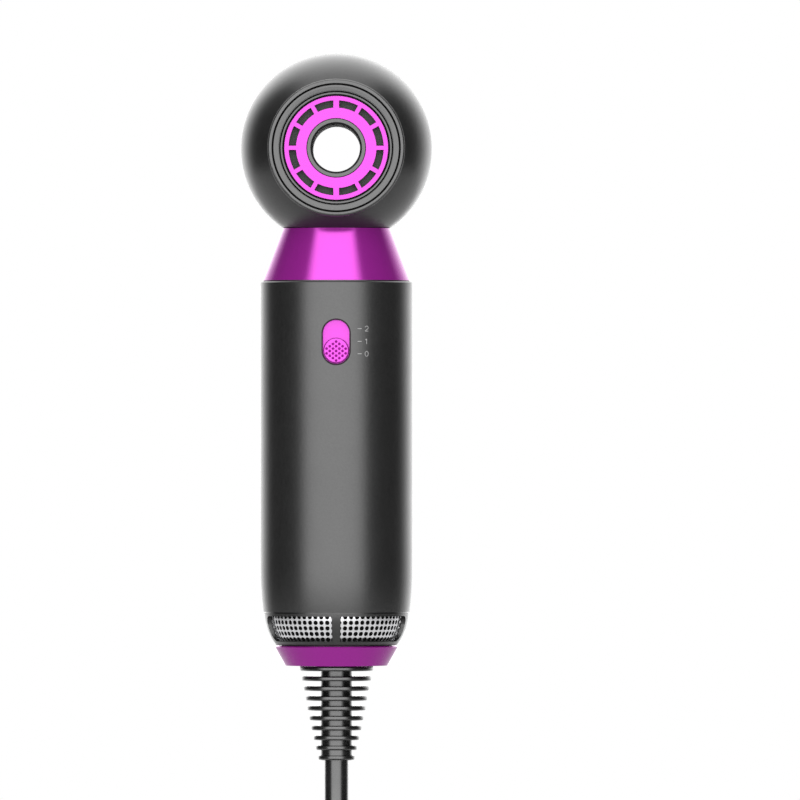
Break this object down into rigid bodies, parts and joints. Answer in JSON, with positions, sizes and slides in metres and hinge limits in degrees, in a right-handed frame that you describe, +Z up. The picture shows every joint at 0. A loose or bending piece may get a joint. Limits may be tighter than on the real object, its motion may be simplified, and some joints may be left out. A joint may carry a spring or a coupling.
{
  "type": "travel hair dryer",
  "caption": "Compact hair dryer with a hollow round head, ring outlet, straight handle with slide switch, mesh air inlet, ribbed strain relief and a tied mains cord with plug.",
  "frame": {"origin": "centre of the bore that runs through the head", "axes": "+Z up along the handle towards the head, -Y the way the air blows, +X to the right seen from the front"},
  "size_m": [0.0572, 0.0493, 0.4628],
  "materials": {
    "soft_touch_abs": "soft-touch fine grain",
    "dark_abs": "satin",
    "grey_abs": "satin",
    "magenta_aluminium": "anodised satin",
    "pink_abs": "satin",
    "steel": "bright",
    "black_rubber": "glossy",
    "mica": "matt",
    "nichrome": "drawn wire",
    "circuit": "solder mask",
    "brass": "drawn",
    "nylon": "natural nylon",
    "ferrite": "sintered",
    "wire": "PVC insulation"
  },
  "bodies": {
    "housing": {"head_front_shell": "soft_touch_abs", "head_rear_shell": "soft_touch_abs", "outlet_lip_ring": "dark_abs", "outlet_trim_ring": "grey_abs", "outlet_grille": "magenta_aluminium", "outlet_inner_ring": "dark_abs", "grille_carrier": "dark_abs", "bore_tube": "dark_abs", "rear_bore_ring": "dark_abs", "heater_mica_sleeve": "mica", "heater_mica_fins": "mica", "heater_winding": "nichrome", "thermal_cutout": "nylon", "thermal_fuse": "nylon", "heater_leads": "wire", "neck_cone": "magenta_aluminium", "neck_duct": "dark_abs", "neck_seal": "black_rubber", "handle_front_shell": "soft_touch_abs", "handle_rear_shell": "soft_touch_abs", "handle_screws": "steel", "screw_plugs": "soft_touch_abs", "switch_bezel": "grey_abs", "switch_guide": "dark_abs", "switch_module": "dark_abs", "switch_terminals": "brass", "circuit_board": "circuit", "rectifier_diodes": "dark_abs", "capacitor": "nylon", "fan_duct": "nylon", "motor_damper": "black_rubber", "motor_can": "steel", "motor_end_bell": "nylon", "motor_magnets": "ferrite", "motor_bushes": "brass", "motor_brushes": "brass", "motor_leads": "wire", "inlet_cage": "soft_touch_abs", "inlet_mesh": "steel", "bottom_plate": "dark_abs", "bottom_collar": "magenta_aluminium", "bottom_screws": "steel", "strain_relief": "black_rubber", "cord_entry": "black_rubber", "cord_clamp": "nylon", "clamp_screws": "steel", "supply_leads": "wire", "mains_cord": "black_rubber", "cord_hank": "black_rubber", "cord_tie": "black_rubber", "cord_tail": "black_rubber", "plug_body": "black_rubber", "plug_pins": "brass"},
    "switch_slider": {"switch_shutter": "pink_abs", "switch_thumb": "pink_abs", "switch_actuator": "nylon"},
    "fan_rotor": {"motor_armature": "steel", "motor_commutator": "brass", "motor_shaft": "steel", "fan_impeller": "dark_abs"}
  },
  "joints": [
    {"name": "switch_slide", "type": "slide", "parent": "housing", "child": "switch_slider", "axis": [0, 0, 1], "range_m": [0, 0.0052]},
    {"name": "fan_spin", "type": "hinge", "parent": "housing", "child": "fan_rotor", "pos_m": [0, 0, -0.1], "axis": [0, 0, 1], "continuous": true}
  ]
}
